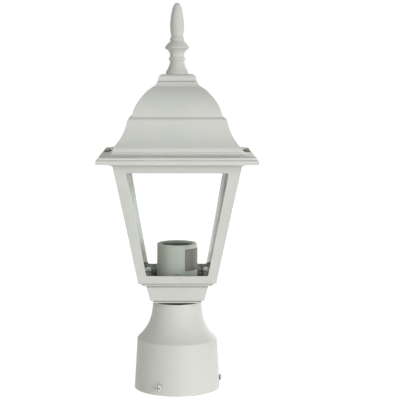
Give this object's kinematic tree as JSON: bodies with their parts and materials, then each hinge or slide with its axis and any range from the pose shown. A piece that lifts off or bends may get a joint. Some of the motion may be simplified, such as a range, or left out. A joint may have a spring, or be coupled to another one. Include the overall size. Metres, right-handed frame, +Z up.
{
  "type": "post top lantern",
  "caption": "Four-sided tapered post top lantern with clear panes, a lift-off domed square roof, a turned finial and a round collar that slips over a post.",
  "frame": {"origin": "middle of the collar's bottom rim, where the lantern stands", "axes": "+Z up along the lantern's axis, -Y towards the front pane"},
  "size_m": [0.1524, 0.1524, 0.3816],
  "materials": {
    "paint": "off-white powder coat, satin, fine texture",
    "screw_paint": "off-white paint over steel screw heads",
    "glass": "clear flat glass",
    "nylon": "light grey moulded plastic",
    "plated_screw": "weathered plated steel",
    "zinc_steel": "zinc plated steel",
    "porcelain": "pale green-white glazed porcelain",
    "brass": "plain brass",
    "foil": "blank silver foil",
    "black_wire": "black insulation",
    "white_wire": "white insulation",
    "green_screw": "green dyed steel"
  },
  "bodies": {
    "lantern": {"post_collar": "paint", "cage": "paint", "glass_front": "glass", "glass_right": "glass", "glass_back": "glass", "glass_left": "glass", "pane_clips": "nylon", "threaded_pipe": "zinc_steel", "pipe_washer": "zinc_steel", "pipe_lock_nut": "zinc_steel", "pipe_lower_nut": "zinc_steel", "socket_bracket": "zinc_steel", "socket_body": "porcelain", "screw_shell": "brass", "centre_contact": "brass", "contact_rivet": "brass", "bracket_rivets": "zinc_steel", "socket_label": "foil", "lead_black": "black_wire", "lead_white": "white_wire", "ground_screw": "green_screw"},
    "roof": {"roof": "paint", "finial": "paint", "finial_stud": "zinc_steel", "finial_washer": "zinc_steel", "finial_nut": "zinc_steel"},
    "roof_screw_left": {"roof_screw_left": "plated_screw"},
    "roof_screw_right": {"roof_screw_right": "plated_screw"},
    "set_screw_1": {"set_screw_1": "screw_paint"},
    "set_screw_2": {"set_screw_2": "screw_paint"},
    "set_screw_3": {"set_screw_3": "screw_paint"}
  },
  "joints": [
    {"name": "roof_lift", "type": "slide", "parent": "lantern", "child": "roof", "axis": [0, 0, 1], "range_m": [0, 0.12]},
    {"name": "roof_screw_left_out", "type": "slide", "parent": "roof", "child": "roof_screw_left", "axis": [0, 0, 1], "range_m": [0, 0.013]},
    {"name": "roof_screw_right_out", "type": "slide", "parent": "roof", "child": "roof_screw_right", "axis": [0, 0, 1], "range_m": [0, 0.013]},
    {"name": "set_screw_1_travel", "type": "slide", "parent": "lantern", "child": "set_screw_1", "axis": [-0.4226, -0.9063, 0], "range_m": [-0.0007, 0.005]},
    {"name": "set_screw_2_travel", "type": "slide", "parent": "lantern", "child": "set_screw_2", "axis": [0.9962, 0.0872, 0], "range_m": [-0.0007, 0.005]},
    {"name": "set_screw_3_travel", "type": "slide", "parent": "lantern", "child": "set_screw_3", "axis": [-0.5736, 0.8192, 0], "range_m": [-0.0007, 0.005]}
  ]
}
